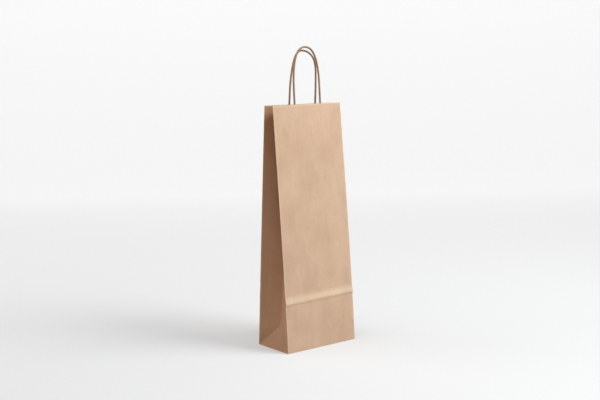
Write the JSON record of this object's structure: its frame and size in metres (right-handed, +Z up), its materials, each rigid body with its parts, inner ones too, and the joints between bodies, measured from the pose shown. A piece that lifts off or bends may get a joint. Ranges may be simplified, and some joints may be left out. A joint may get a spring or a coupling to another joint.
{
  "type": "wine gift bag",
  "caption": "Tall kraft paper bottle bag, standing half folded: block bottom, in-folded side gussets and twisted paper cord handles glued inside the mouth.",
  "frame": {"origin": "middle of the base, on the surface the bag stands on", "axes": "+Z up, +X along the wide panels, -Y out of the front panel"},
  "size_m": [0.14, 0.08, 0.4863],
  "materials": {
    "kraft_panel": "matt, machine-glazed",
    "kraft_gusset": "matt, machine-glazed",
    "kraft_base": "matt, glued",
    "kraft_patch": "matt",
    "paper_cord": "matt, twisted"
  },
  "bodies": {
    "base": {"bottom_flap_back": "kraft_base", "bottom_flap_front": "kraft_base", "bottom_tuck_left": "kraft_base", "bottom_tuck_right": "kraft_base"},
    "front_panel": {"front_panel_upper": "kraft_panel", "front_panel_lower": "kraft_panel", "front_patch_backing": "kraft_patch", "front_patch_cover": "kraft_patch", "front_cord_end_left": "paper_cord", "front_cord_end_right": "paper_cord"},
    "back_panel": {"back_panel_upper": "kraft_panel", "back_panel_lower": "kraft_panel", "seam_flap": "kraft_base", "back_patch_backing": "kraft_patch", "back_patch_cover": "kraft_patch", "back_cord_end_left": "paper_cord", "back_cord_end_right": "paper_cord"},
    "left_foot": {"left_gusset_foot": "kraft_gusset"},
    "left_front_gusset_lower": {"left_gusset_front_lower": "kraft_gusset"},
    "left_front_gusset_upper": {"left_gusset_front_upper": "kraft_gusset"},
    "left_rear_gusset_lower": {"left_gusset_rear_lower": "kraft_gusset"},
    "left_rear_gusset_upper": {"left_gusset_rear_upper": "kraft_gusset"},
    "right_foot": {"right_gusset_foot": "kraft_gusset"},
    "right_front_gusset_lower": {"right_gusset_front_lower": "kraft_gusset"},
    "right_front_gusset_upper": {"right_gusset_front_upper": "kraft_gusset"},
    "right_rear_gusset_lower": {"right_gusset_rear_lower": "kraft_gusset"},
    "right_rear_gusset_upper": {"right_gusset_rear_upper": "kraft_gusset"},
    "front_handle": {"front_handle_loop": "paper_cord"},
    "back_handle": {"back_handle_loop": "paper_cord"}
  },
  "joints": [
    {"name": "mouth_front_panel", "type": "hinge", "parent": "base", "child": "front_panel", "pos_m": [0, -0.04, 0], "axis": [1, 0, 0], "range_deg": [-0.21, 2.84]},
    {"name": "mouth_back_panel", "type": "hinge", "parent": "base", "child": "back_panel", "pos_m": [0, 0.04, 0], "axis": [1, 0, 0], "range_deg": [-2.85, 0.22]},
    {"name": "left_foot_crease", "type": "hinge", "parent": "base", "child": "left_foot", "pos_m": [-0.07, 0, 0], "axis": [0, -1, 0], "range_deg": [-0.69, 9.08]},
    {"name": "left_front_corner_crease", "type": "hinge", "parent": "front_panel", "child": "left_front_gusset_lower", "pos_m": [-0.07, -0.04, 0], "axis": [0, 0.0749, 0.9972], "range_deg": [-0.69, 9.08]},
    {"name": "left_front_soft_crease", "type": "hinge", "parent": "left_front_gusset_lower", "child": "left_front_gusset_upper", "pos_m": [-0.05506, 0, 0.03711], "axis": [-0.0418, -0.0291, 0.9987], "range_deg": [-1.69, 22.69]},
    {"name": "left_rear_corner_crease", "type": "hinge", "parent": "back_panel", "child": "left_rear_gusset_lower", "pos_m": [-0.07, 0.04, 0], "axis": [0, 0.0749, -0.9972], "range_deg": [-0.69, 9.08]},
    {"name": "left_rear_soft_crease", "type": "hinge", "parent": "left_rear_gusset_lower", "child": "left_rear_gusset_upper", "pos_m": [-0.05506, 0, 0.03711], "axis": [0.0418, -0.0291, -0.9987], "range_deg": [-1.69, 22.69]},
    {"name": "right_foot_crease", "type": "hinge", "parent": "base", "child": "right_foot", "pos_m": [0.07, 0, 0], "axis": [0, 1, 0], "range_deg": [-0.69, 9.08]},
    {"name": "right_front_corner_crease", "type": "hinge", "parent": "front_panel", "child": "right_front_gusset_lower", "pos_m": [0.07, -0.04, 0], "axis": [0, -0.0749, -0.9972], "range_deg": [-0.69, 9.08]},
    {"name": "right_front_soft_crease", "type": "hinge", "parent": "right_front_gusset_lower", "child": "right_front_gusset_upper", "pos_m": [0.05506, 0, 0.03711], "axis": [-0.0418, 0.0291, -0.9987], "range_deg": [-1.69, 22.69]},
    {"name": "right_rear_corner_crease", "type": "hinge", "parent": "back_panel", "child": "right_rear_gusset_lower", "pos_m": [0.07, 0.04, 0], "axis": [0, -0.0749, 0.9972], "range_deg": [-0.69, 9.08]},
    {"name": "right_rear_soft_crease", "type": "hinge", "parent": "right_rear_gusset_lower", "child": "right_rear_gusset_upper", "pos_m": [0.05506, 0, 0.03711], "axis": [0.0418, 0.0291, 0.9987], "range_deg": [-1.69, 22.69]},
    {"name": "front_handle_swing", "type": "hinge", "parent": "front_panel", "child": "front_handle", "pos_m": [0, -0.0104, 0.39389], "axis": [1, 0, 0], "range_deg": [0, 150]},
    {"name": "back_handle_swing", "type": "hinge", "parent": "back_panel", "child": "back_handle", "pos_m": [0, 0.0104, 0.39389], "axis": [-1, 0, 0], "range_deg": [0, 150]}
  ],
  "couplings": [
    {"joint": "mouth_back_panel", "follows": "mouth_front_panel", "ratio": -1},
    {"joint": "left_foot_crease", "follows": "mouth_front_panel", "ratio": 3.191},
    {"joint": "left_front_corner_crease", "follows": "mouth_front_panel", "ratio": 3.191},
    {"joint": "left_front_soft_crease", "follows": "mouth_front_panel", "ratio": 7.985},
    {"joint": "left_rear_corner_crease", "follows": "mouth_front_panel", "ratio": 3.191},
    {"joint": "left_rear_soft_crease", "follows": "mouth_front_panel", "ratio": 7.985},
    {"joint": "right_foot_crease", "follows": "mouth_front_panel", "ratio": 3.191},
    {"joint": "right_front_corner_crease", "follows": "mouth_front_panel", "ratio": 3.191},
    {"joint": "right_front_soft_crease", "follows": "mouth_front_panel", "ratio": 7.985},
    {"joint": "right_rear_corner_crease", "follows": "mouth_front_panel", "ratio": 3.191},
    {"joint": "right_rear_soft_crease", "follows": "mouth_front_panel", "ratio": 7.985}
  ]
}
